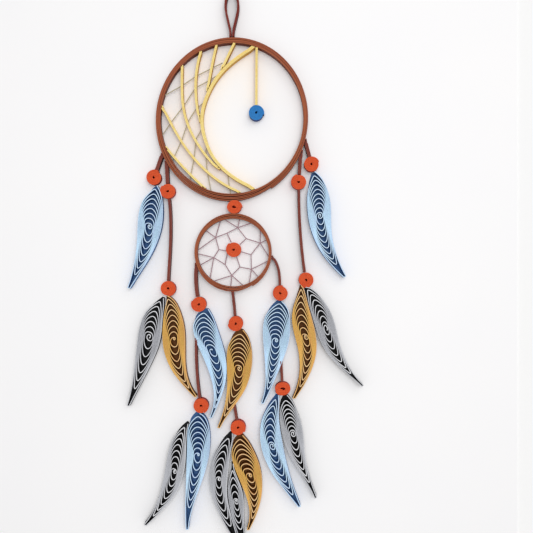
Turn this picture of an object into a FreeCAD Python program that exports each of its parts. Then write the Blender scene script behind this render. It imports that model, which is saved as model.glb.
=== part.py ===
import FreeCAD, Part

import Sketcher
import math
import os
from collections import namedtuple

# A quilled paper dreamcatcher glued on an upright white card, which lies flat here.
# X runs to the right of the card, Y to its upper edge and Z up from its back.
# The origin is the middle of the card's back. Every strip stands on its edge on the card.

V = FreeCAD.Vector
doc = FreeCAD.newDocument("quilled_dreamcatcher")

# Driving dimensions, in millimetres.
SIZES = {
    "card_width": 148.0,
    "card_length": 210.0,
    "card_thickness": 0.5,
    "strip_height": 3.0,
    "paper_thickness": 0.27,
    "seat_gap": 0.05,
    "large_hoop_width": 39.4,
    "large_hoop_length": 42.4,
    "large_hoop_side_wall": 1.15,
    "large_hoop_end_wall": 1.6,
    "large_hoop_bore_rise": 0.25,
    "large_hoop_middle_x": -0.8,
    "large_hoop_middle_y": 38.2,
    "small_hoop_width": 20.0,
    "small_hoop_length": 20.3,
    "small_hoop_side_wall": 0.75,
    "small_hoop_end_wall": 1.3,
    "small_hoop_bore_rise": 0.0,
    "bead_diameter": 3.9,
    "bead_bore": 0.5,
    "flat_bead_width": 4.1,
    "flat_bead_length": 3.4,
    "hoop_spacing": 3.2,
    "small_hoop_shift": 0.3,
    "hoop_bead_width": 3.9,
    "hoop_bead_length": 4.9,
    "loop_length": 13.5,
    "loop_width": 3.1,
    "loop_thickness": 0.65,
    "short_hanger_thickness": 0.9,
    "long_hanger_thickness": 0.7,
    "strand_thickness": 0.6,
    "crescent_thickness": 0.8,
    "thread_thickness": 0.22,
    "thread_level": 1.4,
    "thread_slot": 0.3,
}

sheet = doc.addObject("Spreadsheet::Sheet", "Sizes")
for row, (alias, value) in enumerate(SIZES.items(), start=1):
    sheet.set("A%d" % row, alias)
    sheet.set("B%d" % row, str(value))
    sheet.setAlias("B%d" % row, alias)
doc.recompute()


def size(alias):
    return float(sheet.get(alias))


FLOOR = size("card_thickness")
PAPER = size("paper_thickness")
GAP = size("seat_gap")
BEAD_RADIUS = size("bead_diameter") / 2

# How far the arcs of a bent strip may leave the smooth curve that they follow.
ARC_TOLERANCE = 0.05

parts = []


# Plane geometry that the profiles share.

def face_of(edges):
    return Part.Face(Part.Wire(Part.__sortEdges__(edges)))


def polygon(points):
    corners = list(points)
    corners.append(corners[0])
    return Part.Face(Part.makePolygon(corners))


def curve_through(points):
    curve = Part.BSplineCurve()
    curve.interpolate(points)
    return curve


def line(start, end):
    return Part.LineSegment(start, end).toShape()


def sideways(curve, parameter, distance):
    """The point beside a curve, to the left of its travel."""
    along = curve.tangent(parameter)[0]
    return curve.value(parameter) + V(-along.y, along.x, 0) * distance


def arcs_beside(curve, distance):
    """Arcs that run beside a smooth curve, each tangent to the next, and their two ends."""
    arcs = curve.toBiArcs(ARC_TOLERANCE)
    first = sideways(arcs[0], arcs[0].FirstParameter, distance)
    start = first
    edges = []
    for arc in arcs:
        middle = sideways(arc, (arc.FirstParameter + arc.LastParameter) / 2, distance)
        end = sideways(arc, arc.LastParameter, distance)
        edges.append(Part.Arc(start, middle, end).toShape())
        start = end
    return edges, first, start


def ribbon(points, thickness, grow=0.0):
    """The footprint of a strip that stands on its edge along a smooth curve."""
    half = thickness / 2 + grow
    if len(points) == 2:
        run = Part.LineSegment(points[0], points[1])
        start = run.FirstParameter
        end = run.LastParameter
        corners = [sideways(run, start, -half), sideways(run, end, -half)]
        return polygon(corners + [sideways(run, end, half), sideways(run, start, half)])
    curve = curve_through(points)
    left, left_start, left_end = arcs_beside(curve, half)
    right, right_start, right_end = arcs_beside(curve, -half)
    return face_of(left + right + [line(left_start, right_start), line(left_end, right_end)])


def ellipse_face(middle, width, length, tilt=0.0):
    if abs(width - length) < 1e-6:
        return Part.Face(Part.Wire([Part.Circle(middle, V(0, 0, 1), width / 2).toShape()]))
    turn = tilt if width > length else tilt + 90
    spin = FreeCAD.Rotation(V(0, 0, 1), turn)
    major = middle + spin.multVec(V(max(width, length) / 2, 0, 0))
    minor = middle + spin.multVec(V(0, min(width, length) / 2, 0))
    return Part.Face(Part.Wire([Part.Ellipse(major, minor, middle).toShape()]))


def trimmed(face, neighbours):
    """What is left of a footprint, in one piece, once its neighbours have their room."""
    if not neighbours:
        return face
    rest = face.cut(list(neighbours))
    return max(rest.Faces, key=lambda piece: piece.Area)


# The ways in which a piece is made from its footprint.

def arc_between(start, middle, end):
    """The arc through three points, always anticlockwise."""
    if (middle - start).cross(end - middle).z < 0:
        start, end = end, start
    return Part.Arc(start, middle, end)


def sketch_geometry(face):
    geometry = []
    for edge in face.Edges:
        curve = edge.Curve
        first = edge.FirstParameter
        last = edge.LastParameter
        if curve.TypeId == "Part::GeomLine":
            geometry.append(Part.LineSegment(edge.valueAt(first), edge.valueAt(last)))
        elif edge.isClosed():
            geometry.append(curve)
        elif curve.TypeId == "Part::GeomCircle":
            middle = edge.valueAt((first + last) / 2)
            geometry.append(arc_between(edge.valueAt(first), middle, edge.valueAt(last)))
        else:
            geometry.append(Part.ArcOfEllipse(curve, first, last))
    return geometry


def padded_body(name, faces, height="strip_height", level=""):
    """A body whose sketch holds the footprints and whose pad raises them over the card."""
    body = doc.addObject("PartDesign::Body", name)
    body.Label = name
    body.AllowCompound = True
    plane = next(f for f in body.Origin.OriginFeatures if f.Role == "XY_Plane")
    sketch = body.newObject("Sketcher::SketchObject", name + "_footprint")
    sketch.AttachmentSupport = (plane, [""])
    sketch.MapMode = "FlatFace"
    for face in faces:
        sketch.addGeometry(sketch_geometry(face), False)
    pad = body.newObject("PartDesign::Pad", name + "_pad")
    pad.Profile = sketch
    pad.setExpression("Length", "Sizes." + height)
    body.Tip = pad
    body.setExpression(".Placement.Base.z", "Sizes.card_thickness" + level)
    return body


def add_strip(name, faces):
    body = padded_body(name, faces)
    parts.append((name, body))
    return body


# The card.

def make_card():
    body = doc.addObject("PartDesign::Body", "backing_card")
    body.Label = "backing_card"
    plane = next(f for f in body.Origin.OriginFeatures if f.Role == "XY_Plane")
    sketch = body.newObject("Sketcher::SketchObject", "card_outline")
    sketch.AttachmentSupport = (plane, [""])
    sketch.MapMode = "FlatFace"
    half_width = size("card_width") / 2
    half_length = size("card_length") / 2
    corners = [
        V(-half_width, -half_length, 0),
        V(half_width, -half_length, 0),
        V(half_width, half_length, 0),
        V(-half_width, half_length, 0),
    ]
    for i in range(4):
        sketch.addGeometry(Part.LineSegment(corners[i], corners[(i + 1) % 4]), False)
    for i in range(4):
        sketch.addConstraint(Sketcher.Constraint("Coincident", i, 2, (i + 1) % 4, 1))
    for i in (0, 2):
        sketch.addConstraint(Sketcher.Constraint("Horizontal", i))
    for i in (1, 3):
        sketch.addConstraint(Sketcher.Constraint("Vertical", i))
    sketch.addConstraint(Sketcher.Constraint("Symmetric", 0, 1, 1, 2, -1, 1))
    width = sketch.addConstraint(Sketcher.Constraint("DistanceX", 0, 1, 0, 2, 2 * half_width))
    length = sketch.addConstraint(Sketcher.Constraint("DistanceY", 1, 1, 1, 2, 2 * half_length))
    sketch.setExpression("Constraints[%d]" % width, "Sizes.card_width")
    sketch.setExpression("Constraints[%d]" % length, "Sizes.card_length")
    pad = body.newObject("PartDesign::Pad", "card_pad")
    pad.Profile = sketch
    pad.setExpression("Length", "Sizes.card_thickness")
    body.Tip = pad
    parts.append(("backing_card", body))


# The hoops are flat oval rings of many turns of brown paper, thicker at their ends.

Hoop = namedtuple("Hoop", "name middle width length side_wall end_wall bore_rise tilt")


def sized_hoop(name, middle, tilt):
    sizes = [size("%s_%s" % (name, part)) for part in ("width", "length", "side_wall", "end_wall", "bore_rise")]
    return Hoop(name, middle, *sizes, tilt)


def turned(hoop, offset):
    return FreeCAD.Rotation(V(0, 0, 1), hoop.tilt).multVec(offset)


def hoop_point(hoop, angle):
    """A point in the middle of the hoop's wall, its angle counted from the right."""
    turn = math.radians(angle)
    across = (hoop.width - hoop.side_wall) / 2 * math.cos(turn)
    up = (hoop.length - hoop.end_wall) / 2 * math.sin(turn) + hoop.bore_rise / 2
    return hoop.middle + turned(hoop, V(across, up, 0))


def hoop_face(hoop, grow=0.0):
    outside = ellipse_face(hoop.middle, hoop.width + 2 * grow, hoop.length + 2 * grow, hoop.tilt)
    bore_width = hoop.width - 2 * hoop.side_wall - 2 * grow
    bore_length = hoop.length - 2 * hoop.end_wall - 2 * grow
    bore_middle = hoop.middle + turned(hoop, V(0, hoop.bore_rise, 0))
    return outside.cut(ellipse_face(bore_middle, bore_width, bore_length, hoop.tilt))


def oval_block(hoop, kind, width, length, rise):
    """An upright oval block, its width and length given as sums of the sheet's sizes."""
    oval = doc.addObject("Part::Ellipse", "%s_%s_oval" % (hoop.name, kind))
    sums = sorted(((doc.Sizes.evalExpression(text), text) for text in (width, length)))
    oval.setExpression("MajorRadius", "(%s) / 2" % sums[1][1])
    oval.setExpression("MinorRadius", "(%s) / 2" % sums[0][1])
    turn = 90 if sums[1][1] == length else 0
    spin = FreeCAD.Rotation(V(0, 0, 1), turn + hoop.tilt)
    place = hoop.middle + turned(hoop, V(0, rise, 0)) + V(0, 0, FLOOR)
    oval.Placement = FreeCAD.Placement(place, spin)
    block = doc.addObject("Part::Extrusion", "%s_%s" % (hoop.name, kind))
    block.Base = oval
    block.DirMode = "Custom"
    block.Dir = V(0, 0, 1)
    block.setExpression("LengthFwd", "Sizes.strip_height")
    block.Solid = True
    return block


def make_hoop(hoop):
    """The smaller of two upright oval blocks is taken from the larger."""
    width = "Sizes.%s_width" % hoop.name
    length = "Sizes.%s_length" % hoop.name
    bore_width = "%s - 2 * Sizes.%s_side_wall" % (width, hoop.name)
    bore_length = "%s - 2 * Sizes.%s_end_wall" % (length, hoop.name)
    ring = doc.addObject("Part::Cut", hoop.name)
    ring.Base = oval_block(hoop, "outside", width, length, 0)
    ring.Tool = oval_block(hoop, "inside", bore_width, bore_length, hoop.bore_rise)
    ring.Label = hoop.name
    parts.append((hoop.name, ring))


# The beads are tight coils of orange paper, and one of blue.

Bead = namedtuple("Bead", "name middle width length")


def round_bead(name, middle):
    diameter = 2 * BEAD_RADIUS
    return Bead(name, middle, diameter, diameter)


def bead_face(bead, grow=0.0):
    return ellipse_face(bead.middle, bead.width + 2 * grow, bead.length + 2 * grow)


def make_bead(bead, neighbours=()):
    """The coil, with the small hole that is left where its strip begins."""
    footprint = trimmed(bead_face(bead), neighbours)
    turns = [math.radians(60 * i) for i in range(6)]
    reach = size("bead_bore") / 2
    bore = polygon([bead.middle + V(math.cos(turn), math.sin(turn), 0) * reach for turn in turns])
    add_strip(bead.name, [footprint.cut(bore)])


# The feathers are loose coils pinched at both ends and bent.
# Their turns lie pressed together along the sides and stand apart above and below the eye.

Feather = namedtuple("Feather", "name bead across drop length lean left right eye turns")
STATIONS = (0.06, 0.18, 0.35, 0.55, 0.78)
DOME_SHARE = 0.42
SHOULDER = 0.13
SHOULDER_WIDTH = 0.5
LEAST_HALF_GAP = 0.12
GAPS_SHOWN = 3
GAP_SHARE = 0.5
EYE_LENGTH = 1.8
EYE_WIDTH = 0.6
HALVINGS = 30


class FeatherFrame:
    """Where a feather begins, its directions, and its two long sides as smooth curves."""

    def __init__(self, feather):
        lean = math.radians(feather.lean)
        bead = feather.bead
        self.along = V(math.sin(lean), -math.cos(lean), 0)
        self.across = V(math.cos(lean), math.sin(lean), 0)
        self.top = bead.middle + V(feather.across, -bead.length / 2 - feather.drop, 0)
        self.length = feather.length
        self.left = self.side(feather.left, -PAPER)
        self.right = self.side(feather.right, PAPER)

    def point(self, across, along):
        return self.top + self.across * across + self.along * along

    def side(self, offsets, blunt):
        points = [self.point(blunt, 0)]
        for share, offset in zip(STATIONS, offsets):
            points.append(self.point(offset, share * self.length))
        points.append(self.point(blunt, self.length))
        return curve_through(points)

    def offset(self, side, distance):
        """How far across a side lies at a distance along the feather, found by halving."""
        low = side.FirstParameter
        high = side.LastParameter
        for _ in range(HALVINGS):
            middle = (low + high) / 2
            if (side.value(middle) - self.top).dot(self.along) < distance:
                low = middle
            else:
                high = middle
        return (side.value(low) - self.top).dot(self.across)

    def half_width(self, distance):
        return (self.offset(self.right, distance) - self.offset(self.left, distance)) / 2

    def inside(self, distance, share, inset):
        """A point at a share of the width that is left within a pressed band."""
        middle = (self.offset(self.right, distance) + self.offset(self.left, distance)) / 2
        room = max(self.half_width(distance) - inset, LEAST_HALF_GAP)
        return self.point(middle + share * room, distance)


def end_lines(start, end, beyond):
    """The blunt end of an outline, moved out by the room beyond it."""
    if beyond.Length == 0:
        return [line(start, end)]
    return [line(start, start + beyond), line(start + beyond, end + beyond), line(end + beyond, end)]


def feather_outline(feather, grow=0.0):
    frame = FeatherFrame(feather)
    left, left_top, left_tip = arcs_beside(frame.left, -grow)
    right, right_top, right_tip = arcs_beside(frame.right, grow)
    edges = left + right
    edges += end_lines(left_top, right_top, frame.along * -grow)
    edges += end_lines(left_tip, right_tip, frame.along * grow)
    return face_of(edges)


def crescent_gap(frame, end, sign, far, turns, number):
    """One of the open gaps between turns, counted from an end of the feather."""
    pitch = far / (GAPS_SHOWN + 0.5)
    inset = (number + 0.7) * turns / GAPS_SHOWN * PAPER
    outer = (number + 0.35) * pitch
    inner = outer + GAP_SHARE * pitch
    reach = DOME_SHARE * (far - outer)
    cusp = min(inner + 0.6 * reach, far - 0.3 * pitch)
    if frame.half_width(end + sign * cusp) - inset < 2 * LEAST_HALF_GAP:
        return None
    outline = (
        (cusp, -1),
        (outer + SHOULDER * reach, -SHOULDER_WIDTH),
        (outer + SHOULDER * reach, SHOULDER_WIDTH),
        (cusp, 1),
        (inner + SHOULDER * reach, SHOULDER_WIDTH),
        (inner + SHOULDER * reach, -SHOULDER_WIDTH),
    )
    return polygon([frame.inside(end + sign * d, share, inset) for d, share in outline])


def eye_gap(frame, eye):
    """The open middle of the coil, long and pointed."""
    middle = (frame.offset(frame.right, eye) + frame.offset(frame.left, eye)) / 2
    outline = ((0, -0.5), (0.5, -0.15), (0.5, 0.15), (0, 0.5), (-0.5, 0.15), (-0.5, -0.15))
    return polygon([
        frame.point(middle + across * EYE_WIDTH, eye + along * EYE_LENGTH) for across, along in outline
    ])


def feather_gaps(feather):
    frame = FeatherFrame(feather)
    gaps = [eye_gap(frame, feather.eye)]
    for end, sign, far in ((0.0, 1, feather.eye), (feather.length, -1, feather.length - feather.eye)):
        for number in range(GAPS_SHOWN):
            gap = crescent_gap(frame, end, sign, far, feather.turns, number)
            if gap:
                gaps.append(gap)
    return gaps


def make_feather(feather, neighbours):
    face = trimmed(feather_outline(feather), neighbours)
    add_strip(feather.name, [face.cut(feather_gaps(feather))])


# Places inside a hoop are shares of its half width and half length.

def in_hoop(hoop, across, up):
    half_width = (hoop.width - hoop.side_wall) / 2
    half_length = (hoop.length - hoop.end_wall) / 2
    return hoop.middle + V(across * half_width, up * half_length, 0)


def strand_points(hoop, start, places, end=None):
    points = [hoop_point(hoop, start)]
    points += [in_hoop(hoop, across, up) for across, up in places]
    if end is not None:
        points.append(hoop_point(hoop, end))
    return points


# What hangs on the hoops follows the large hoop: these are 1 at the size in the photograph.
WIDE = size("large_hoop_width") / 39.4
LONG = size("large_hoop_length") / 42.4


def below(place, across, down):
    return place + V(across * WIDE, -down * LONG, 0)


def hung_feather(name, bead, across, drop, length, lean, left, right, eye, turns):
    left = [offset * WIDE for offset in left]
    right = [offset * WIDE for offset in right]
    return Feather(name, bead, across * WIDE, drop * LONG, length * LONG, lean, left, right, eye * LONG, turns)


make_card()

large_middle = V(size("large_hoop_middle_x"), size("large_hoop_middle_y"), 0)
large_hoop = sized_hoop("large_hoop", large_middle, -7.5)
hoop_distance = (size("large_hoop_length") + size("small_hoop_length")) / 2 + size("hoop_spacing")
small_middle = large_middle + V(size("small_hoop_shift"), -hoop_distance, 0)
small_hoop = sized_hoop("small_hoop", small_middle, 0.0)
make_hoop(large_hoop)
make_hoop(small_hoop)
large_ring = hoop_face(large_hoop, GAP)
small_ring = hoop_face(small_hoop, GAP)

# The hanging loop is one strip bent into a drop, its ends side by side on the hoop.
crown = hoop_point(large_hoop, 98.1)
loop_reach = size("loop_length")
loop_half = size("loop_width") / 2
loop_foot = size("loop_thickness") * 0.75
loop_route = [
    crown + V(-loop_foot, 0, 0),
    crown + V(-0.62 * loop_half, 0.38 * loop_reach, 0),
    crown + V(-loop_half, 0.76 * loop_reach, 0),
    crown + V(0, loop_reach, 0),
    crown + V(loop_half, 0.76 * loop_reach, 0),
    crown + V(0.62 * loop_half, 0.38 * loop_reach, 0),
    crown + V(loop_foot, 0, 0),
]
add_strip("hanging_loop", [trimmed(ribbon(loop_route, size("loop_thickness")), [large_ring])])

# Where the strips leave the hoops, and the beads that hang on them.
left_outer_foot = hoop_point(large_hoop, 210.3)
left_inner_foot = hoop_point(large_hoop, 214.6)
right_outer_foot = hoop_point(large_hoop, 354.8)
right_inner_foot = hoop_point(large_hoop, 347.6)
small_left_foot = hoop_point(small_hoop, 193.3)
middle_foot = hoop_point(small_hoop, 268.5)
small_right_foot = hoop_point(small_hoop, 355.9)

star_bead = round_bead("star_bead", in_hoop(large_hoop, 0.33, 0.08))
web_bead = round_bead("web_bead", in_hoop(small_hoop, 0.02, 0.08))
left_outer_bead = round_bead("left_outer_bead", below(left_outer_foot, -2.5, 7.2))
left_inner_bead = round_bead("left_inner_bead", below(left_inner_foot, 0.5, 9.3))
left_low_bead = round_bead("left_low_bead", below(left_inner_bead.middle, 0.0, 25.3))
right_outer_bead = round_bead("right_outer_bead", below(right_outer_foot, 2.0, 7.5))
right_inner_bead = round_bead("right_inner_bead", below(right_inner_foot, -0.6, 9.6))
right_low_bead = round_bead("right_low_bead", below(right_inner_bead.middle, 1.8, 25.4))
small_left_bead = round_bead("small_left_bead", below(small_left_foot, 0.5, 11.2))
small_left_low_bead = round_bead("small_left_low_bead", below(small_left_bead.middle, 0.5, 26.4))
middle_bead = round_bead("middle_bead", below(middle_foot, 0.9, 8.9))
middle_low_bead = round_bead("middle_low_bead", below(middle_bead.middle, 0.6, 27.1))
small_right_bead = round_bead("small_right_bead", below(small_right_foot, 2.7, 9.9))
small_right_low_bead = Bead(
    "small_right_low_bead",
    below(small_right_bead.middle, 0.5, 24.7),
    size("flat_bead_width"),
    size("flat_bead_length"),
)
hoop_bead = Bead(
    "hoop_bead",
    large_middle + V(0.65, -(large_hoop.length + size("hoop_spacing")) / 2, 0),
    size("hoop_bead_width"),
    size("hoop_bead_length"),
)
beads = [
    star_bead, web_bead, left_outer_bead, left_inner_bead, left_low_bead,
    right_outer_bead, right_inner_bead, right_low_bead, small_left_bead,
    small_left_low_bead, middle_bead, middle_low_bead, small_right_bead,
    small_right_low_bead,
]
for bead in beads:
    make_bead(bead)
make_bead(hoop_bead, [large_ring, small_ring])

# The feathers, from the outer left to the outer right.
outer_left_feather = hung_feather(
    "outer_left_blue_feather", left_outer_bead, 0.3, -0.1, 27.8, -14.4,
    (-1.15, -2.15, -2.1, -0.9, -0.15), (1.9, 3.35, 4.35, 4.05, 2.35), 10.5, 8)
inner_left_grey = hung_feather(
    "inner_left_grey_feather", left_low_bead, -1.4, 0.35, 29.6, -17.6,
    (-1.65, -3.1, -3.2, -2.05, -0.8), (0.9, 1.7, 2.85, 2.55, 1.45), 11.5, 8)
inner_left_gold = hung_feather(
    "inner_left_gold_feather", left_low_bead, -0.4, 0.0, 27.3, 16.4,
    (-0.95, -2.15, -3.9, -4.6, -3.15), (1.55, 2.3, 2.15, 0.7, -0.7), 11.1, 9)
small_left_blue = hung_feather(
    "small_left_blue_feather", small_left_bead, 2.0, -0.75, 28.4, 2.0,
    (-3.1, -3.7, -2.35, -0.15, 1.2), (1.3, 2.55, 3.95, 4.65, 3.2), 10.5, 9)
small_left_low_blue = hung_feather(
    "small_left_low_blue_feather", small_left_low_bead, -0.4, -0.25, 30.6, -5.9,
    (-2.25, -2.5, -2.1, -1.65, -1.1), (2.2, 3.4, 3.65, 2.7, 0.95), 10.5, 8)
small_left_low_grey = hung_feather(
    "small_left_low_grey_feather", small_left_low_bead, -3.45, 2.55, 28.7, -22.7,
    (-1.2, -1.9, -1.45, -0.1, 0.65), (0.6, 1.75, 3.6, 4.35, 2.95), 12.4, 8)
middle_gold = hung_feather(
    "middle_gold_feather", middle_bead, 1.35, -0.45, 26.3, -12.7,
    (-1.75, -2.3, -1.65, -0.3, 0.3), (2.3, 4.0, 4.95, 4.65, 2.35), 9.6, 9)
middle_low_grey = hung_feather(
    "middle_low_grey_feather", middle_low_bead, -1.7, -0.65, 29.4, 3.5,
    (-2.4, -4.55, -6.1, -5.9, -3.4), (0.2, -0.6, -1.45, -2.1, -1.0), 12.0, 7)
middle_low_slim = hung_feather(
    "middle_low_slim_feather", middle_low_bead, -1.5, 7.25, 23.6, 7.6,
    (-0.5, -1.4, -2.1, -1.9, -0.95), (0.3, 0.95, 1.8, 1.3, 0.8), 9.2, 6)
middle_low_gold = hung_feather(
    "middle_low_gold_feather", middle_low_bead, 0.75, -0.1, 24.7, 4.2,
    (-2.2, -2.8, -2.1, -0.45, 0.85), (1.55, 3.1, 4.4, 4.6, 3.15), 10.2, 8)
small_right_blue = hung_feather(
    "small_right_blue_feather", small_right_bead, -0.4, -0.05, 27.1, -9.2,
    (-1.8, -2.95, -2.65, -1.35, -0.05), (2.5, 3.7, 4.3, 3.45, 2.0), 10.2, 9)
small_right_low_blue = hung_feather(
    "small_right_low_blue_feather", small_right_low_bead, -1.3, 0.0, 29.6, 11.3,
    (-2.5, -5.1, -6.65, -6.25, -3.7), (0.0, -0.75, -1.1, -1.15, -0.75), 12.1, 8)
small_right_low_grey = hung_feather(
    "small_right_low_grey_feather", small_right_low_bead, 0.8, 0.0, 27.9, 16.4,
    (-2.05, -3.05, -3.7, -3.35, -1.6), (1.1, 1.7, 1.85, 0.65, 0.05), 9.4, 9)
inner_right_gold = hung_feather(
    "inner_right_gold_feather", right_low_bead, -1.2, -0.55, 29.5, -3.9,
    (-0.75, -1.55, -1.65, 0.25, 1.1), (0.95, 2.2, 4.0, 5.1, 3.65), 12.6, 9)
inner_right_grey = hung_feather(
    "inner_right_grey_feather", right_low_bead, -0.15, -0.15, 29.8, 30.2,
    (-0.9, -1.75, -3.0, -3.85, -2.45), (1.4, 2.3, 2.3, 0.5, -0.55), 11.4, 7)
outer_right_feather = hung_feather(
    "outer_right_blue_feather", right_outer_bead, 0.4, -0.05, 28.6, 16.9,
    (-1.5, -3.1, -4.5, -4.85, -3.4), (1.35, 2.15, 1.8, 0.15, -0.45), 11.0, 9)

# A feather that lies against others is made with room for them.
feather_seats = [
    (outer_left_feather, [], [left_inner_bead]),
    (inner_left_grey, [], []),
    (inner_left_gold, [inner_left_grey, small_left_blue], [small_left_low_bead]),
    (small_left_blue, [], []),
    (small_left_low_blue, [], []),
    (small_left_low_grey, [small_left_low_blue], []),
    (middle_gold, [small_left_blue], []),
    (middle_low_gold, [], []),
    (middle_low_grey, [middle_low_gold], []),
    (middle_low_slim, [middle_low_gold, middle_low_grey], []),
    (small_right_blue, [], []),
    (small_right_low_blue, [], []),
    (small_right_low_grey, [small_right_low_blue], []),
    (inner_right_gold, [small_right_blue], [small_right_low_bead]),
    (inner_right_grey, [inner_right_gold], []),
    (outer_right_feather, [], []),
]

# The brown strips on which beads and feathers hang.
short_strip = size("short_hanger_thickness")
long_strip = size("long_hanger_thickness")


def room_for(beads=(), feathers=()):
    rooms = [bead_face(bead, GAP) for bead in beads]
    rooms += [feather_outline(feather, GAP) for feather in feathers]
    return rooms


def make_hanger(name, route, thickness, neighbours):
    add_strip(name, [trimmed(ribbon(route, thickness), neighbours)])


make_hanger(
    "left_outer_hanger", [left_outer_foot, left_outer_bead.middle], short_strip,
    [large_ring] + room_for([left_outer_bead]))
make_hanger(
    "left_inner_hanger",
    [left_inner_foot, below(left_inner_foot, 0.1, 1.8), left_inner_bead.middle], short_strip,
    [large_ring] + room_for([left_inner_bead]))
make_hanger(
    "left_long_hanger",
    [
        left_inner_bead.middle,
        below(left_inner_bead.middle, 0.7, 10.1),
        below(left_inner_bead.middle, 0.4, 17.9),
        left_low_bead.middle,
    ],
    long_strip, room_for([left_inner_bead, left_low_bead]))
make_hanger(
    "right_outer_hanger", [right_outer_foot, right_outer_bead.middle], short_strip,
    [large_ring] + room_for([right_outer_bead]))
make_hanger(
    "right_inner_hanger", [right_inner_foot, right_inner_bead.middle], short_strip,
    [large_ring] + room_for([right_inner_bead]))
make_hanger(
    "right_long_hanger",
    [
        right_inner_bead.middle,
        below(right_inner_bead.middle, 0.4, 13.2),
        right_low_bead.middle,
    ],
    long_strip, room_for([right_inner_bead, right_low_bead]))
make_hanger(
    "small_left_hanger",
    [
        small_left_foot,
        below(small_left_foot, -0.3, 4.5),
        below(small_left_foot, -0.1, 7.6),
        small_left_bead.middle,
    ],
    short_strip, [small_ring] + room_for([small_left_bead]))
small_left_low_route = [
    below(small_left_bead.middle, -0.6, 6.5),
    below(small_left_bead.middle, -0.6, 16.3),
    small_left_low_bead.middle,
]
make_hanger(
    "small_left_low_hanger", small_left_low_route, long_strip,
    room_for([small_left_low_bead], [small_left_blue]))
make_hanger(
    "middle_hanger",
    [middle_foot, below(middle_foot, 0.5, 4.2), middle_bead.middle],
    long_strip, [small_ring] + room_for([middle_bead]))
make_hanger(
    "middle_low_hanger",
    [below(middle_bead.middle, -0.6, 19.4), middle_low_bead.middle],
    long_strip, room_for([middle_low_bead], [middle_gold]))
make_hanger(
    "small_right_hanger",
    [
        small_right_foot,
        below(small_right_foot, 1.5, 1.8),
        below(small_right_foot, 2.3, 4.4),
        small_right_bead.middle,
    ],
    long_strip, [small_ring] + room_for([small_right_bead]))
make_hanger(
    "small_right_low_hanger",
    [below(small_right_bead.middle, 0.1, 16.0), small_right_low_bead.middle],
    long_strip, room_for([small_right_low_bead], [small_right_blue]))

for feather, feathers, near_beads in feather_seats:
    neighbours = room_for([feather.bead] + near_beads, feathers)
    if feather is inner_left_gold:
        neighbours.append(ribbon(small_left_low_route, long_strip, GAP))
    make_feather(feather, neighbours)

# The crescent moon and the strands behind it, one strip of yellow paper each.
strand = size("strand_thickness")
crescent_route = strand_points(
    large_hoop, 78.0,
    [(0.10, 0.80), (-0.16, 0.58), (-0.35, 0.27), (-0.41, 0.01), (-0.37, -0.24), (-0.23, -0.52),
     (0.01, -0.73)],
    299.6)
strand_routes = {
    "moon_strand_1": strand_points(large_hoop, 95.0, [(-0.04, 0.83), (-0.16, 0.58)]),
    "moon_strand_2": strand_points(large_hoop, 109.6, [(-0.28, 0.64), (-0.34, 0.30)]),
    "moon_strand_3": strand_points(large_hoop, 121.8, [(-0.49, 0.50), (-0.48, 0.20), (-0.39, -0.19)]),
    "moon_strand_4": strand_points(
        large_hoop, 140.2, [(-0.68, 0.39), (-0.62, -0.01), (-0.41, -0.39), (-0.08, -0.71), (0.10, -0.80)]),
    "moon_strand_5": strand_points(
        large_hoop, 174.6, [(-0.77, -0.15), (-0.53, -0.48), (-0.23, -0.75)], 290.8),
    "moon_strand_6": strand_points(large_hoop, 203.4, [(-0.70, -0.57)], 262.6),
}
crescent_room = ribbon(crescent_route, size("crescent_thickness"), GAP)
thread_routes = [
    strand_points(large_hoop, 170.2, [(-0.68, 0.44), (-0.49, 0.56), (-0.30, 0.65), (-0.13, 0.73)]),
    strand_points(
        large_hoop, 200.6, [(-0.83, -0.03), (-0.66, 0.18), (-0.50, 0.41), (-0.32, 0.50), (-0.20, 0.57)]),
    strand_points(large_hoop, 221.5, [(-0.69, -0.27), (-0.60, -0.02), (-0.50, 0.13), (-0.39, 0.22)]),
    strand_points(large_hoop, 242.1, [(-0.52, -0.50), (-0.49, -0.24), (-0.41, -0.11)]),
    strand_points(large_hoop, 261.9, [(-0.34, -0.66), (-0.36, -0.40), (-0.34, -0.33)]),
    strand_points(large_hoop, 277.6, [(-0.04, -0.85), (-0.06, -0.67)]),
]


def straight_runs(points, width):
    """The footprint of a thread that runs straight from point to point."""
    runs = [ribbon([start, end], width) for start, end in zip(points, points[1:])]
    if len(runs) == 1:
        return runs[0]
    return runs[0].fuse(runs[1:]).removeSplitter().Faces[0]


slots = padded_body(
    "thread_slots",
    [straight_runs(route, size("thread_slot")) for route in thread_routes],
    "thread_slot", " + Sizes.thread_level - (Sizes.thread_slot - Sizes.thread_thickness) / 2")


def add_pierced(name, face):
    """A strand with a hole wherever a thread goes through it."""
    body = padded_body(name + "_strip", [face])
    pierced = doc.addObject("Part::Cut", name)
    pierced.Base = body
    pierced.Tool = slots
    pierced.Label = name
    parts.append((name, pierced))


crescent_face = trimmed(ribbon(crescent_route, size("crescent_thickness")), [large_ring])
add_strip("moon_crescent", [crescent_face])
laid = []
for name, route in strand_routes.items():
    strip_face = trimmed(ribbon(route, strand), [large_ring, crescent_room] + laid)
    if laid:
        add_pierced(name, strip_face)
    else:
        add_strip(name, [strip_face])
    laid.append(ribbon(route, strand, GAP))

star_route = strand_points(large_hoop, 78.5, [(0.32, 0.18)]) + [star_bead.middle]
star_neighbours = [large_ring, crescent_room] + room_for([star_bead])
add_strip("star_hanger", [trimmed(ribbon(star_route[::2], strand), star_neighbours)])

# The threads of the moon end at the crescent.
thread = size("thread_thickness")
moon_threads = []
for route in thread_routes:
    moon_threads.append(trimmed(straight_runs(route, thread), [large_ring, crescent_room, laid[0]]))
parts.append((
    "moon_threads",
    padded_body("moon_threads", moon_threads, "thread_thickness", " + Sizes.thread_level")))

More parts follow.
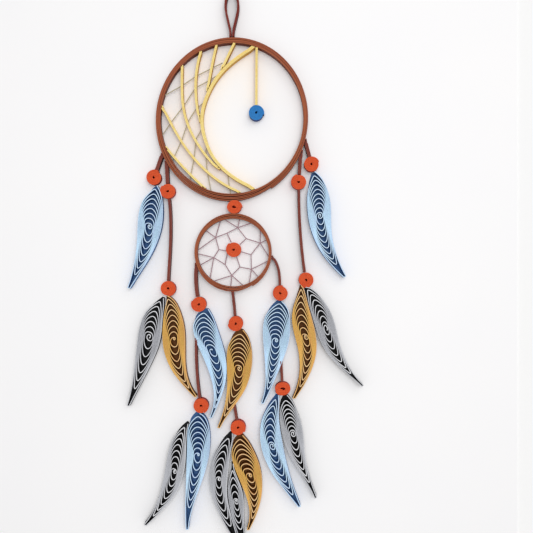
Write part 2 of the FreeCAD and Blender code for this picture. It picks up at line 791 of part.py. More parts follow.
# The web is one net: a ring with twelve corners, spokes in to the bead and spokes out to the hoop.
web_corners = [
    (0.12, 0.68), (0.35, 0.38), (0.73, 0.26), (0.48, -0.06), (0.49, -0.46), (0.18, -0.40),
    (-0.04, -0.63), (-0.22, -0.33), (-0.53, -0.14), (-0.39, 0.08), (-0.48, 0.41), (-0.17, 0.53),
]
spokes_out = {
    0: (79.4, 107.5, 56.5),
    2: (42.8, 20.9, 350.7),
    4: (347.5, 315.1, 295.0),
    6: (288.3, 265.7, 233.8),
    8: (230.3, 201.4, 181.3),
    10: (177.9, 141.0, 109.0),
}
spokes_in = {
    1: (0.158, 0.200),
    3: (0.178, 0.029),
    5: (0.079, -0.094),
    7: (-0.144, 0.093),
    9: (-0.123, 0.030),
    11: (-0.039, 0.238),
}
corners = [in_hoop(small_hoop, across, up) for across, up in web_corners]
web = []
for start, end in zip(corners, corners[1:] + corners[:1]):
    web.append(ribbon([start, end], thread))
for number, angles in spokes_out.items():
    web += [ribbon([corners[number], hoop_point(small_hoop, angle)], thread) for angle in angles]
for number, (across, up) in spokes_in.items():
    web.append(ribbon([corners[number], in_hoop(small_hoop, across, up)], thread))
net = web[0].fuse(web[1:]).removeSplitter()
net = trimmed(net, [small_ring] + room_for([web_bead]))
parts.append((
    "web_threads",
    padded_body("web_threads", [net], "thread_thickness", " + Sizes.thread_level")))

doc.recompute()
for item in doc.Objects:
    if "Invalid" in item.State or "Error" in item.State:
        raise RuntimeError("%s did not build" % item.Label)
os.makedirs("parts", exist_ok=True)
for name, item in parts:
    if item.Shape.isNull() or not item.Shape.isValid():
        raise RuntimeError("%s has no valid shape" % name)
    item.Shape.exportStep("parts/%s.step" % name)
print("%d sub-parts" % len(parts))
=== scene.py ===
import math
import random

import bpy
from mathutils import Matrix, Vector


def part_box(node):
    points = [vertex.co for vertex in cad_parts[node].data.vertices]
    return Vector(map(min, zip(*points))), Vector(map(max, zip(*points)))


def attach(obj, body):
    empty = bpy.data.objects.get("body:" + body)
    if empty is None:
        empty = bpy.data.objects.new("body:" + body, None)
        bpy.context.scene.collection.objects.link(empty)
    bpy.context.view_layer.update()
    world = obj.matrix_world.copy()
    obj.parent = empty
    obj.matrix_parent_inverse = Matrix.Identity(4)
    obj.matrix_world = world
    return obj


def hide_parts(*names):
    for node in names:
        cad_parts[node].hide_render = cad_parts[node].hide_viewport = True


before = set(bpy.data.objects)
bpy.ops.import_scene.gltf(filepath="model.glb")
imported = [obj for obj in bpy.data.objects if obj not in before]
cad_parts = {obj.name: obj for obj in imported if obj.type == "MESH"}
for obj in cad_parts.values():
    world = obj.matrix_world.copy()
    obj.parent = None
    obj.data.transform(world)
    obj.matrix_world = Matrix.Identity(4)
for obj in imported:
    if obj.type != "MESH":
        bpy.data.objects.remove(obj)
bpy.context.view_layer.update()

# A quilled paper dreamcatcher on a white card, seen from straight above, as it lies on a table.
# Every strip of paper stands on its edge on the card. X runs to the right of the card, Y to its
# upper edge and Z up. Lengths are in metres, and MM turns millimetres into them.

MM = 0.001
CARD_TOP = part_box("backing_card")[1][2]
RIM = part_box("large_hoop")[1][2]
random.seed(7)

# The space a turn of paper takes, the paper itself, the rounding of its edges, how uneven its
# top edge is and how high the dark sheet of painted shade under the coils stands over the card.
PAPER = 0.27 * MM
CUT_PAPER = 0.22 * MM
EDGE_ROUNDING = 0.03 * MM
UNEVEN = 0.06 * MM
SHADE_SHEET_RISE = 0.06 * MM


# Shaping

def select_only(*objects):
    bpy.ops.object.select_all(action="DESELECT")
    for item in objects:
        item.select_set(True)
    bpy.context.view_layer.objects.active = objects[0]


def added(operator, **settings):
    """A new primitive, lamp or camera, with nothing else selected."""
    bpy.ops.object.select_all(action="DESELECT")
    operator(**settings)
    return bpy.context.object


def finish_modifier(piece, kind, **settings):
    select_only(piece)
    modifier = piece.modifiers.new(kind.lower(), kind)
    for name, value in settings.items():
        setattr(modifier, name, value)
    bpy.ops.object.modifier_apply(modifier=modifier.name)


def smooth_by_angle(piece, degrees=35):
    select_only(piece)
    bpy.ops.object.shade_smooth_by_angle(angle=math.radians(degrees))


def upright_strip(name, route, thickness, waves=3, pressed=None):
    """A strip of paper that stands on its edge along a route of points seen from above.

    In its UV map, U runs along the strip and V tells how closely its neighbours press on it.
    """
    strip = added(
        bpy.ops.mesh.primitive_grid_add, x_subdivisions=len(route) - 1, y_subdivisions=1, size=1)
    strip.name = name
    swings = [(random.uniform(0.5, 1.5) * waves, random.uniform(0, 2 * math.pi)) for _ in range(3)]
    for vertex in strip.data.vertices:
        share = vertex.co.x + 0.5
        place = route[round(share * (len(route) - 1))]
        rise = sum(math.sin(2 * math.pi * rate * share + phase) for rate, phase in swings)
        level = CARD_TOP if vertex.co.y < 0 else RIM + UNEVEN * rise / 3
        vertex.co = (place.x, place.y, level)
    for corner in strip.data.uv_layers.active.data:
        share = corner.uv.x
        corner.uv.y = at(pressed, share) if pressed else 0
    finish_modifier(strip, "SOLIDIFY", thickness=thickness, offset=0)
    finish_modifier(strip, "BEVEL", width=EDGE_ROUNDING, segments=1, angle_limit=math.radians(50))
    smooth_by_angle(strip)
    return strip


def beside(route, distance):
    """A route moved sideways, to the left of its travel."""
    moved = []
    for i, place in enumerate(route):
        travel = route[min(i + 1, len(route) - 1)] - route[max(i - 1, 0)]
        moved.append(place + Vector((-travel.y, travel.x)).normalized() * distance)
    return moved


def joined(name, pieces):
    select_only(*pieces)
    bpy.ops.object.join()
    pieces[0].name = name
    return pieces[0]


def layered_strip(name, route, width, layers):
    """Strips glued flat against each other, side by side along a route."""
    pitch = width / layers
    pieces = []
    for layer in range(layers):
        distance = (layer - (layers - 1) / 2) * pitch
        pieces.append(upright_strip(name, beside(route, distance), pitch * 0.88))
    return joined(name, pieces)


def painted_shade_sheet(outline):
    """A dark sheet of painted shade in which a coil stands, a little above the card."""
    film = added(
        bpy.ops.mesh.primitive_circle_add, vertices=len(outline), fill_type="NGON", radius=1)
    for vertex, place in zip(film.data.vertices, outline):
        vertex.co = (place.x, place.y, CARD_TOP + SHADE_SHEET_RISE)
    return film


# Reading the frame

def top_edges(node):
    """Both ends of each edge in a node's top face, seen from above."""
    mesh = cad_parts[node].data
    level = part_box(node)[1][2] - 0.01 * MM
    edges = []
    for face in mesh.polygons:
        corners = [mesh.vertices[i].co for i in face.vertices]
        if min(corner.z for corner in corners) > level:
            for start, end in zip(corners, corners[1:] + corners[:1]):
                edges.append((start.xy.copy(), end.xy.copy()))
    return edges


def crossings(edges, start, along, across, distance):
    """How far across the edges of a node lie at a distance along it, in order."""
    found = []
    for first, last in edges:
        before = (first - start).dot(along) - distance
        after = (last - start).dot(along) - distance
        if (before > 0) != (after > 0):
            found.append((first.lerp(last, before / (before - after)) - start).dot(across))
    return sorted(found)


def at(values, share):
    """The value at a share of the way through evenly spaced values."""
    place = min(max(share, 0), 1) * (len(values) - 1)
    low = min(int(place), len(values) - 2)
    return values[low] + (values[low + 1] - values[low]) * (place - low)


def smoothed(values, rounds=2):
    for _ in range(rounds):
        inner = [(a + 2 * b + c) / 4 for a, b, c in zip(values, values[1:], values[2:])]
        values = [values[0]] + inner + [values[-1]]
    return values


def box_middle(node):
    low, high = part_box(node)
    return Vector(((low[0] + high[0]) / 2, (low[1] + high[1]) / 2))


def box_half(node):
    low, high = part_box(node)
    return (high[0] - low[0]) / 2, (high[1] - low[1]) / 2


# Shader nodes

def add_node(tree, kind, inputs=None, **settings):
    node = tree.nodes.new(kind)
    for name, value in settings.items():
        setattr(node, name, value)
    for name, value in (inputs or {}).items():
        socket = node.inputs[name]
        if isinstance(value, bpy.types.NodeSocket):
            tree.links.new(value, socket)
        else:
            socket.default_value = value
    return node


def colour(red, green, blue):
    """A colour given as it looks on a screen, from 0 to 255."""
    linear = []
    for level in (red, green, blue):
        share = level / 255
        linear.append(share / 12.92 if share <= 0.04045 else ((share + 0.055) / 1.055) ** 2.4)
    return (*linear, 1.0)


def mix_colours(tree, share, first, second, blend="MIX"):
    node = add_node(tree, "ShaderNodeMix", data_type="RGBA", blend_type=blend, clamp_factor=True)
    for index, value in ((0, share), (6, first), (7, second)):
        if isinstance(value, bpy.types.NodeSocket):
            tree.links.new(value, node.inputs[index])
        else:
            node.inputs[index].default_value = value
    return node.outputs[2]


def make_paper_group():
    """The look of a strip: a pale cut edge, darker faces below it with painted shade towards the card,
    and tints from turn to turn.
    """
    group = bpy.data.node_groups.new("quilling_strip", "ShaderNodeTree")
    sockets = (
        ("Edge", "INPUT", "NodeSocketColor"),
        ("Face", "INPUT", "NodeSocketColor"),
        ("Tint", "INPUT", "NodeSocketColor"),
        ("Turns", "INPUT", "NodeSocketFloat"),
        ("Depth", "INPUT", "NodeSocketFloat"),
        ("Tint Amount", "INPUT", "NodeSocketFloat"),
        ("Pressed", "INPUT", "NodeSocketColor"),
        ("Painted Foot Shade", "INPUT", "NodeSocketFloat"),
        ("Color", "OUTPUT", "NodeSocketColor"),
        ("Roughness", "OUTPUT", "NodeSocketFloat"),
        ("Height", "OUTPUT", "NodeSocketFloat"),
    )
    for name, way, kind in sockets:
        group.interface.new_socket(name, in_out=way, socket_type=kind)
    given = add_node(group, "NodeGroupInput")
    result = add_node(group, "NodeGroupOutput")
    place = add_node(group, "ShaderNodeTexCoord")
    level = add_node(group, "ShaderNodeSeparateXYZ", {"Vector": place.outputs["Object"]})
    lower = add_node(group, "ShaderNodeMath", {
        0: RIM, 1: given.outputs["Depth"],
    }, operation="SUBTRACT")
    rim_mask = add_node(group, "ShaderNodeMapRange", {
        "Value": level.outputs["Z"],
        "From Min": lower.outputs[0],
        "From Max": RIM - 0.06 * MM,
    })
    run = add_node(group, "ShaderNodeSeparateXYZ", {"Vector": place.outputs["UV"]})
    turn = add_node(group, "ShaderNodeMath", {
        0: run.outputs["X"], 1: given.outputs["Turns"],
    }, operation="MULTIPLY")
    streaks = add_node(group, "ShaderNodeTexNoise", {
        "W": turn.outputs[0], "Scale": 1.3, "Detail": 3.0, "Roughness": 0.7,
    }, noise_dimensions="1D")
    fibres = add_node(group, "ShaderNodeTexNoise", {
        "Vector": place.outputs["Object"], "Scale": 2600.0, "Detail": 4.0, "Roughness": 0.65,
    })
    streak_mask = add_node(group, "ShaderNodeMapRange", {
        "Value": streaks.outputs["Fac"], "From Min": 0.42, "From Max": 0.68,
    })
    tint_share = add_node(group, "ShaderNodeMath", {
        0: streak_mask.outputs[0], 1: given.outputs["Tint Amount"],
    }, operation="MULTIPLY")
    edge = mix_colours(group, run.outputs["Y"], given.outputs["Edge"], given.outputs["Pressed"])
    tinted = mix_colours(group, tint_share.outputs[0], edge, given.outputs["Tint"])
    # Painted shade: the faces darken towards the card, standing in for the shade deep in the narrow gaps
    # between turns.
    foot = add_node(group, "ShaderNodeMapRange", {
        "Value": level.outputs["Z"], "From Min": CARD_TOP + 0.4 * MM, "From Max": RIM - 0.5 * MM,
        "To Min": given.outputs["Painted Foot Shade"], "To Max": 1.0,
    })
    wall = mix_colours(group, 1.0, given.outputs["Face"], foot.outputs[0], "MULTIPLY")
    layered = mix_colours(group, rim_mask.outputs[0], wall, tinted)
    grain = add_node(group, "ShaderNodeMapRange", {
        "Value": fibres.outputs["Fac"], "From Min": 0.3, "From Max": 0.7, "To Min": 0.86, "To Max": 1.06,
    })
    shaded = mix_colours(group, 1.0, layered, grain.outputs[0], "MULTIPLY")
    rough = add_node(group, "ShaderNodeMapRange", {
        "Value": fibres.outputs["Fac"], "To Min": 0.55, "To Max": 0.85,
    })
    group.links.new(shaded, result.inputs["Color"])
    group.links.new(rough.outputs[0], result.inputs["Roughness"])
    group.links.new(fibres.outputs["Fac"], result.inputs["Height"])
    return group


PAPER_GROUP = make_paper_group()


def new_material(name):
    """A new material with its node tree and its shader."""
    material = bpy.data.materials.new(name)
    material.use_nodes = True
    tree = material.node_tree
    return material, tree, tree.nodes["Principled BSDF"]


def paper_material(name, edge, face, tint, turns, depth=0.35 * MM, tint_amount=0.5,
                   pressed=None, painted_foot_shade=1.0):
    material, tree, shader = new_material(name)
    look = add_node(tree, "ShaderNodeGroup", node_tree=PAPER_GROUP)
    settings = {
        "Edge": edge, "Face": face, "Tint": tint, "Turns": turns, "Depth": depth,
        "Tint Amount": tint_amount, "Pressed": pressed or edge, "Painted Foot Shade": painted_foot_shade,
    }
    for key, value in settings.items():
        look.inputs[key].default_value = value
    bump = add_node(tree, "ShaderNodeBump", {
        "Height": look.outputs["Height"], "Strength": 0.25, "Distance": 0.03 * MM,
    })
    tree.links.new(look.outputs["Color"], shader.inputs["Base Color"])
    tree.links.new(look.outputs["Roughness"], shader.inputs["Roughness"])
    tree.links.new(bump.outputs["Normal"], shader.inputs["Normal"])
    shader.inputs["Specular IOR Level"].default_value = 0.25
    return material


# Colours of the papers: the cut edge, the face below it and the tint of some turns, and how dark the
# painted shade makes the faces at the card.
BLUE_PAPER = paper_material(
    "blue_paper", colour(214, 238, 255), colour(96, 148, 214), colour(188, 204, 244), 9,
    pressed=colour(198, 232, 255), painted_foot_shade=0.5)
GREY_PAPER = paper_material(
    "grey_paper", colour(238, 239, 242), colour(62, 62, 68), colour(205, 206, 212), 8,
    pressed=colour(178, 180, 186), painted_foot_shade=0.1)
GOLD_PAPER = paper_material(
    "gold_paper", colour(246, 212, 160), colour(170, 104, 40), colour(220, 148, 84), 9,
    pressed=colour(228, 180, 92), painted_foot_shade=0.4)
HOOP_PAPER = paper_material(
    "hoop_brown_paper", colour(164, 90, 56), colour(112, 52, 36), colour(120, 54, 50), 5,
    depth=1.2 * MM)
LOOP_PAPER = paper_material(
    "loop_brown_paper", colour(118, 42, 34), colour(84, 24, 22), colour(140, 62, 50), 2,
    depth=1.2 * MM)
HANGER_PAPER = paper_material(
    "hanger_brown_paper", colour(132, 66, 54), colour(84, 30, 26), colour(104, 42, 40), 3,
    depth=1.0 * MM)
ORANGE_PAPER = paper_material(
    "orange_paper", colour(230, 92, 46), colour(176, 30, 18), colour(205, 68, 34), 7,
    depth=0.8 * MM)
BEAD_BLUE_PAPER = paper_material(
    "bead_blue_paper", colour(50, 134, 206), colour(14, 58, 128), colour(38, 112, 182), 7,
    depth=0.8 * MM)
YELLOW_PAPER = paper_material(
    "yellow_paper", colour(255, 232, 150), colour(214, 164, 66), colour(244, 204, 112), 3,
    depth=1.4 * MM)


def dress(piece, material, node):
    """Gives a finished piece its paper and lets it stand for the frame's node."""
    piece.data.materials.clear()
    piece.data.materials.append(material)
    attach(piece, "root")
    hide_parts(node)


# Hoops and beads, which are tight coils

# Where a hoop's strip begins, the share of a turn in which it steps in to the next one, and
# how far its turns stray.
HOOP_START = math.radians(300)
HOOP_STEP = 0.07
HOOP_RIPPLE = 0.05 * MM


def make_hoop(node, turns, steps=144):
    """A strip wound inwards, whose turns all step in to the next layer at the same place."""
    edges = top_edges(node)
    middle = box_middle(node)
    route = []
    for step in range(turns * steps + 1):
        turn = step / steps
        angle = HOOP_START + 2 * math.pi * turn
        ray = Vector((math.cos(angle), math.sin(angle)))
        outwards = [d for d in crossings(edges, middle, ray.orthogonal(), ray, 0) if d > 0]
        layer = min(int(turn) + max((turn % 1 - (1 - HOOP_STEP)) / HOOP_STEP, 0), turns - 1)
        outer = outwards[-1] - CUT_PAPER / 2
        inner = outwards[0] + CUT_PAPER / 2
        depth = layer / (turns - 1)
        ripple = HOOP_RIPPLE * math.sin(3.1 * angle + 2.0 * layer) * math.sin(math.pi * depth)
        route.append(middle + ray * (outer + (inner - outer) * depth + ripple))
    coil = upright_strip(node + "_coil", route, CUT_PAPER * 1.1, waves=12)
    dress(coil, HOOP_PAPER, node)


make_hoop("large_hoop", 5)
make_hoop("small_hoop", 4)


# The hole in a bead's middle, and how far the sheet of painted shade under it reaches as a share of the
# bead.
BEAD_BORE = 0.3 * MM
BEAD_SHADE_REACH = 0.6


def bead_coil(node, begin, steps=40):
    """A strip wound inwards on the bead's oval."""
    half_width, half_length = box_half(node)
    turns = (min(half_width, half_length) - BEAD_BORE) / PAPER
    route = []
    for step in range(round(turns * steps) + 1):
        turn = step / steps
        angle = begin + 2 * math.pi * turn
        across = (half_width - turn * PAPER) * math.cos(angle)
        up = (half_length - turn * PAPER) * math.sin(angle)
        route.append(box_middle(node) + Vector((across, up)))
    return upright_strip(node + "_coil", route, CUT_PAPER * 1.06, waves=8)


def bead_shade_sheet(node, corners=24):
    """A dark sheet of painted shade at the foot of a bead, which darkens its hole."""
    reach = box_half(node)[1] * BEAD_SHADE_REACH
    angles = [2 * math.pi * i / corners for i in range(corners)]
    return painted_shade_sheet([
        box_middle(node) + Vector((math.cos(angle), math.sin(angle))) * reach for angle in angles])


BEADS = sorted(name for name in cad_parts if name.endswith("_bead"))
for number, node in enumerate(BEADS):
    bead = joined(node + "_coil", [bead_coil(node, begin=number * 2.4), bead_shade_sheet(node)])
    if node == "star_bead":
        dress(bead, BEAD_BLUE_PAPER, node)
    else:
        dress(bead, ORANGE_PAPER, node)


# Strips that run from place to place

LOOP_WIDTH = 0.65 * MM
LOOP_PAPERS = 0.6 * MM
STRAND_WIDTH = 0.6 * MM
CRESCENT_WIDTH = 0.8 * MM
HANGER_WIDTH = 0.7 * MM
SHORT_HANGER_WIDTH = 0.9 * MM
SHORT_HANGERS = ("left_outer_hanger", "left_inner_hanger", "right_outer_hanger",
                 "right_inner_hanger", "small_left_hanger")

# A station is cut at a slant where it is narrower than this share of the one beside it.
CUT_SHARE = 0.93


def node_sides(node, shares):
    """The outermost places of a node on the left and on the right, at shares of its length."""
    edges = top_edges(node)
    low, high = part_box(node)
    start = Vector((0, high[1]))
    left = []
    right = []
    for share in shares:
        distance = share * (high[1] - low[1])
        sides = crossings(edges, start, Vector((0, -1)), Vector((1, 0)), distance)
        left.append(Vector((sides[0], high[1] - distance)))
        right.append(Vector((sides[-1], high[1] - distance)))
    return left, right


def even_shares(stations=48):
    """Even shares of a node's length that keep clear of its very ends."""
    return [0.01 + 0.98 * station / stations for station in range(stations + 1)]


def free_side_route(node, width):
    """The middle line of a node that lies along its left neighbour, from its right side."""
    return beside(node_sides(node, even_shares())[1], -width / 2)


def node_route(node):
    """The middle line of a node that runs down the card, read from its two sides.

    Where an end is cut at a slant against a neighbour, the line runs on straight.
    """
    low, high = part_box(node)
    left, right = node_sides(node, even_shares())
    places = [(a + b) / 2 for a, b in zip(left, right)]
    widths = [b.x - a.x for a, b in zip(left, right)]
    first = last = len(places) // 2
    while first > 0 and widths[first - 1] > CUT_SHARE * widths[first]:
        first -= 1
    while last < len(places) - 1 and widths[last + 1] > CUT_SHARE * widths[last]:
        last += 1
    places = places[first + 1:last]
    upper = places[0] - places[4]
    lower = places[-1] - places[-5]
    places.insert(0, places[0] + upper * ((high[1] - places[0].y) / upper.y))
    places.append(places[-1] + lower * ((low[1] - places[-1].y) / lower.y))
    return [Vector(place) for place in zip(smoothed([p.x for p in places]), [p.y for p in places])]


def touches(node, other):
    """Whether the boxes of two nodes meet, seen from above."""
    low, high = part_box(node)
    other_low, other_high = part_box(other)
    near = 0.2 * MM
    return all(low[i] - near < other_high[i] and other_low[i] - near < high[i] for i in (0, 1))


def covers(edges, place):
    """Whether a node's top face lies over a place."""
    found = crossings(edges, place, Vector((0, 1)), Vector((1, 0)), 0)
    return sum(1 for offset in found if offset > 0) % 2 == 1


def evened(route, count):
    """The same route with evenly spaced points."""
    lengths = [0]
    for a, b in zip(route, route[1:]):
        lengths.append(lengths[-1] + (b - a).length)
    points = []
    leg = 0
    for i in range(count + 1):
        distance = lengths[-1] * i / count
        while leg < len(route) - 2 and lengths[leg + 1] < distance:
            leg += 1
        share = (distance - lengths[leg]) / (lengths[leg + 1] - lengths[leg])
        points.append(route[leg].lerp(route[leg + 1], share))
    return points


def hung_strip(node, route, width, layers, neighbours, stations=64):
    """Strips side by side, each cut off where it meets one of the neighbours."""
    edges = [top_edges(neighbour) for neighbour in neighbours if touches(node, neighbour)]
    route = evened(route, stations * 3)
    pitch = width / layers
    pieces = []
    for layer in range(layers):
        distance = (layer - (layers - 1) / 2) * pitch
        line = beside(route, distance)
        clear = [
            not any(covers(face, a) or covers(face, b) for face in edges)
            for a, b in zip(beside(line, pitch / 2), beside(line, -pitch / 2))
        ]
        middle = len(clear) // 2
        first = max([i + 1 for i in range(middle) if not clear[i]], default=0)
        last = min([i for i in range(middle, len(clear)) if not clear[i]], default=len(clear))
        pieces.append(upright_strip(node + "_strip", evened(line[first:last], stations), pitch * 0.9))
    return joined(node + "_strips", pieces)


HOOPS = ["large_hoop", "small_hoop"]
MOON = ["large_hoop", "moon_crescent"]
HANGERS = sorted(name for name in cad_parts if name.endswith("_hanger"))
HANGERS.remove("star_hanger")
for node in HANGERS:
    width, layers = (SHORT_HANGER_WIDTH, 3) if node in SHORT_HANGERS else (HANGER_WIDTH, 2)
    strip = hung_strip(node, node_route(node), width, layers, HOOPS + BEADS)
    dress(strip, HANGER_PAPER, node)

strip = hung_strip(
    "moon_crescent", node_route("moon_crescent"), CRESCENT_WIDTH, 3, ["large_hoop"], stations=96)
dress(strip, YELLOW_PAPER, "moon_crescent")
for number in range(1, 7):
    node = "moon_strand_%d" % number
    route = free_side_route(node, STRAND_WIDTH) if number == 6 else node_route(node)
    strip = hung_strip(node, route, STRAND_WIDTH, 2, MOON)
    dress(strip, YELLOW_PAPER, node)
strip = hung_strip(
    "star_hanger", node_route("star_hanger"), STRAND_WIDTH, 2, MOON + ["star_bead"])
dress(strip, YELLOW_PAPER, "star_hanger")


def make_loop(node, stations=28):
    """The hanging loop: up its left leg, over its top and down the right one."""
    turned = [1 - math.cos(math.pi / 2 * station / stations) for station in range(stations + 1)]
    left, right = node_sides(node, [0.004 + 0.98 * share for share in turned])
    route = beside(left[::-1] + right, -LOOP_WIDTH / 2)
    loop = layered_strip(node + "_strips", route, LOOP_PAPERS, 2)
    dress(loop, LOOP_PAPER, node)


make_loop("hanging_loop")


# Feathers: loose coils, pinched at both ends.
# Each line gives where the first and last gaps above the eye and below it lie, as shares of
# the feather's length, and the number of turns.

FEATHERS = {
    "outer_left_blue_feather": (0.02, 0.34, 0.44, 0.89, 8),
    "inner_left_grey_feather": (0.02, 0.30, 0.43, 0.87, 7),
    "inner_left_gold_feather": (0.01, 0.37, 0.45, 0.93, 8),
    "small_left_blue_feather": (0.02, 0.35, 0.40, 0.94, 9),
    "small_left_low_blue_feather": (0.01, 0.32, 0.39, 0.84, 8),
    "small_left_low_grey_feather": (0.02, 0.40, 0.49, 0.92, 8),
    "middle_gold_feather": (0.03, 0.33, 0.43, 0.90, 8),
    "middle_low_grey_feather": (0.02, 0.35, 0.44, 0.85, 7),
    "middle_low_slim_feather": (0.04, 0.35, 0.48, 0.76, 5),
    "middle_low_gold_feather": (0.02, 0.38, 0.47, 0.91, 8),
    "small_right_blue_feather": (0.01, 0.34, 0.42, 0.88, 9),
    "small_right_low_blue_feather": (0.01, 0.37, 0.49, 0.91, 8),
    "small_right_low_grey_feather": (0.03, 0.31, 0.42, 0.87, 8),
    "inner_right_gold_feather": (0.01, 0.40, 0.50, 0.92, 8),
    "inner_right_grey_feather": (0.01, 0.32, 0.49, 0.88, 7),
    "outer_right_blue_feather": (0.02, 0.35, 0.45, 0.89, 9),
}
STATIONS = 90
TURN_STEPS = 72

# A feather's paper, and how far inside the outline its first turn lies, in papers.
FEATHER_PAPER = 0.2 * MM
FIRST_TURN = 0.45

# How much of a side the pressed turns may fill.
PRESSED_SHARE = 0.72

# Where a turn bends round: how near it comes to the feather's end, the bend's length as a
# share of the way to the eye, what is added to that, and a short turn's greatest half width as
# a share of its length.
END_SHARE = 0.004
DOME_SHARE = 0.42
DOME_EXTRA = 0.02
ROUND_SHARE = 0.42

# The curl in the eye: its turns, and how far it closes in on the middle.
CURL = 1.5
CURL_REACH = 0.75

# Up to this turn the strip is the feather's outside, which looks pressed only by this share.
OUTSIDE = 0.6
OUTSIDE_PRESSED = 0.6

# How far the sheet of painted shade stays inside the outline, as a share of the way to the middle.
SHADE_SHEET_INSET = 0.08


def dome(share):
    """How wide a bent turn is near its end, from 0 at the end itself to 1."""
    return math.sqrt(max(0.0, 1 - (1 - min(share, 1.0)) ** 2))


def feather_sides(node):
    """The feather's top, its two directions, its length and its sides at even stations."""
    edges = top_edges(node)
    corners = [edge[0] for edge in edges]
    top, tip = max(
        ((a, b) for a in corners for b in corners if a.y > b.y),
        key=lambda pair: (pair[0] - pair[1]).length)
    along = (tip - top).normalized()
    across = Vector((-along.y, along.x))
    length = (tip - top).length
    left = []
    right = []
    for station in range(STATIONS + 1):
        share = min(max(station / STATIONS, END_SHARE), 1 - END_SHARE)
        sides = crossings(edges, top, along, across, share * length)
        left.append(sides[0])
        right.append(sides[-1])
    return top, along, across, length, smoothed(left), smoothed(right)


def feather_coil(node, shape):
    """The coil's one strip, from the outline inwards to a small curl at the eye.

    It comes round to the top at whole turns and to the tip half a turn later. The first of
    each lies at the very end, and the later ones follow the gaps that the photograph shows.
    """
    top, along, across, length, left, right = shape
    upper_first, upper_last, lower_last, lower_first, turns = FEATHERS[node]
    upper_pitch = (upper_last - upper_first) / (turns - 1)
    lower_pitch = (lower_first - lower_last) / (turns - 1)
    eye = (upper_last + lower_last) / 2
    last_begin = upper_last + upper_pitch / 2
    last_end = lower_last - lower_pitch / 2
    route = []
    pressed = []
    for step in range(round((turns + CURL) * TURN_STEPS) + 1):
        turn = step / TURN_STEPS
        down = max(turn - 0.5, 0)
        begin = min(turn, 1) * (upper_first + upper_pitch / 2) + max(turn - 1, 0) * upper_pitch
        end = 1 - min(down, 1) * (1 - lower_first + lower_pitch / 2)
        end -= max(down - 1, 0) * lower_pitch
        curled = min(max((turn - turns) / CURL, 0), 1)
        if turn > turns:
            begin = last_begin + (eye - last_begin) * CURL_REACH * curled
        if turn > turns + 0.5:
            end = last_end + (eye - last_end) * CURL_REACH * (turn - turns - 0.5) / (CURL - 0.5)
        begin = max(begin, END_SHARE)
        end = min(end, 1 - END_SHARE)
        swing = (1 - math.cos(2 * math.pi * turn)) / 2
        share = begin + (end - begin) * swing
        bend = 1
        if turn > 0.5:
            bend *= dome((share - begin) / (DOME_SHARE * (eye - begin) + DOME_EXTRA))
        if turn > 1:
            bend *= dome((end - share) / (DOME_SHARE * (end - eye) + DOME_EXTRA))
        half = (at(right, share) - at(left, share)) / 2
        middle = (at(right, share) + at(left, share)) / 2
        room = half - (int(turn) + FIRST_TURN) * min(PAPER, PRESSED_SHARE * half / turns)
        room = min(room, ROUND_SHARE * max(end - begin, 0.01) * length)
        side = 1 if turn % 1 < 0.5 else -1
        route.append(top + along * share * length + across * (middle + side * room * bend))
        outside = OUTSIDE_PRESSED if turn <= OUTSIDE else 1
        pressed.append(bend * bend * (1 - curled) * outside)
    return upright_strip(node + "_coil", route, FEATHER_PAPER, waves=40, pressed=pressed)


def feather_shade_sheet(shape):
    """The dark sheet of painted shade under a feather, down its left side and up the right one."""
    top, along, across, length, left, right = shape
    outlines = []
    for sides in (left, right):
        outline = []
        for i, offset in enumerate(sides):
            middle = (left[i] + right[i]) / 2
            inset = offset + (middle - offset) * SHADE_SHEET_INSET
            outline.append(top + along * (i / STATIONS) * length + across * inset)
        outlines.append(outline)
    return painted_shade_sheet(outlines[0] + outlines[1][::-1])


FEATHER_PAPERS = {"blue": BLUE_PAPER, "grey": GREY_PAPER, "gold": GOLD_PAPER}
for node in FEATHERS:
    kind = node.split("_")[-2]
    tone = "grey" if kind == "slim" else kind
    shape = feather_sides(node)
    coil = joined(node + "_coil", [feather_coil(node, shape), feather_shade_sheet(shape)])
    dress(coil, FEATHER_PAPERS[tone], node)


# Threads

def thread_material(name, shade, dark):
    material, tree, shader = new_material(name)
    place = add_node(tree, "ShaderNodeTexCoord")
    twist = add_node(tree, "ShaderNodeTexNoise", {
        "Vector": place.outputs["Object"], "Scale": 3500.0, "Detail": 2.0,
    })
    mixed = mix_colours(tree, twist.outputs["Fac"], dark, shade)
    bump = add_node(tree, "ShaderNodeBump", {
        "Height": twist.outputs["Fac"], "Strength": 0.4, "Distance": 0.03 * MM,
    })
    tree.links.new(mixed, shader.inputs["Base Color"])
    tree.links.new(bump.outputs["Normal"], shader.inputs["Normal"])
    shader.inputs["Roughness"].default_value = 0.8
    return material


WEB_THREAD = thread_material("web_thread", colour(176, 140, 148), colour(122, 88, 98))
MOON_THREAD = thread_material("moon_thread", colour(196, 188, 160), colour(150, 140, 110))
for node, material in (("web_threads", WEB_THREAD), ("moon_threads", MOON_THREAD)):
    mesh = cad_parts[node].data
    mesh.materials.clear()
    mesh.materials.append(material)


# The card and what it lies on

def card_material():
    material, tree, shader = new_material("white_card")
    place = add_node(tree, "ShaderNodeTexCoord")
    pulp = add_node(tree, "ShaderNodeTexNoise", {
        "Vector": place.outputs["Object"], "Scale": 900.0, "Detail": 5.0, "Roughness": 0.6,
    })
    clouds = add_node(tree, "ShaderNodeTexNoise", {
        "Vector": place.outputs["Object"], "Scale": 30.0, "Detail": 2.0,
    })
    tone = mix_colours(tree, clouds.outputs["Fac"], colour(247, 247, 249), colour(251, 250, 250))
    bump = add_node(tree, "ShaderNodeBump", {
        "Height": pulp.outputs["Fac"], "Strength": 0.12, "Distance": 0.04 * MM,
    })
    tree.links.new(tone, shader.inputs["Base Color"])
    tree.links.new(bump.outputs["Normal"], shader.inputs["Normal"])
    shader.inputs["Roughness"].default_value = 0.75
    shader.inputs["Specular IOR Level"].default_value = 0.2
    return material


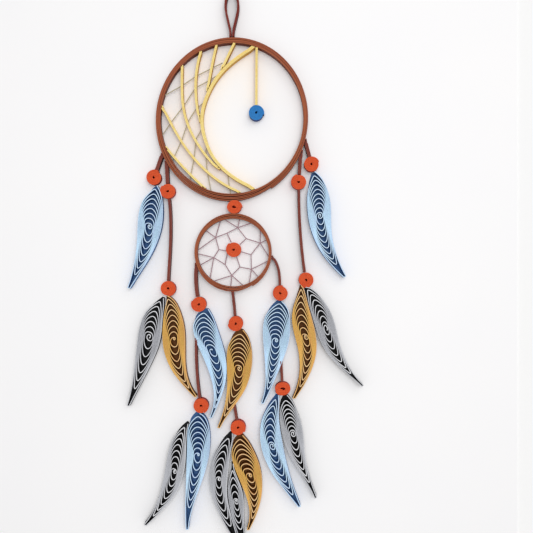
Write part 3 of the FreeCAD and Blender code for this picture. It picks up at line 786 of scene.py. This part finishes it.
def make_card():
    low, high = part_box("backing_card")
    card = added(bpy.ops.mesh.primitive_cube_add, size=1)
    card.name = "backing_card_sheet"
    for vertex in card.data.vertices:
        vertex.co = [low[axis] if vertex.co[axis] < 0 else high[axis] for axis in range(3)]
    finish_modifier(card, "BEVEL", width=0.08 * MM, segments=2)
    smooth_by_angle(card)
    dress(card, card_material(), "backing_card")


make_card()


def make_floor():
    floor = added(bpy.ops.mesh.primitive_plane_add, size=4, location=(0, 0, -0.02 * MM))
    floor.name = "table_top"
    material, tree, shader = new_material("pale_table")
    shader.inputs["Base Color"].default_value = colour(246, 246, 246)
    shader.inputs["Roughness"].default_value = 0.9
    shader.inputs["Specular IOR Level"].default_value = 0.1
    floor.data.materials.append(material)


make_floor()


# Light and camera

def make_world():
    world = bpy.data.worlds.new("studio")
    bpy.context.scene.world = world
    world.use_nodes = True
    shade = world.node_tree.nodes["Background"]
    shade.inputs["Color"].default_value = (1.0, 0.995, 0.99, 1.0)
    shade.inputs["Strength"].default_value = 0.47


def make_lamp(name, place, width, power, tone):
    lamp = added(bpy.ops.object.light_add, type="AREA", location=place)
    lamp.name = name
    lamp.data.shape = "DISK"
    lamp.data.size = width
    lamp.data.energy = power
    lamp.data.color = tone
    lamp.rotation_mode = "QUATERNION"
    lamp.rotation_quaternion = (-Vector(place)).to_track_quat("-Z", "Y")


make_world()
make_lamp("window", (0.36, 0.5, 0.8), 0.6, 1.1, (1.0, 0.985, 0.97))
make_lamp("ceiling", (0.06, 0.08, 0.9), 0.5, 4.1, (1.0, 1.0, 1.0))

# The picture's width at the rims, and the camera's height over them and its place to the right
# of the card's middle.
PICTURE_WIDTH = 138.05 * MM
CAMERA_HEIGHT = 229.5 * MM
CAMERA_RIGHT = 8.16 * MM
camera = added(
    bpy.ops.object.camera_add, location=(CAMERA_RIGHT, 0, RIM + CAMERA_HEIGHT), rotation=(0, 0, 0))
camera.data.sensor_width = 36
camera.data.lens = camera.data.sensor_width * CAMERA_HEIGHT / PICTURE_WIDTH
camera.data.clip_start = 0.01
bpy.context.scene.camera = camera
bpy.context.scene.view_settings.view_transform = "Standard"
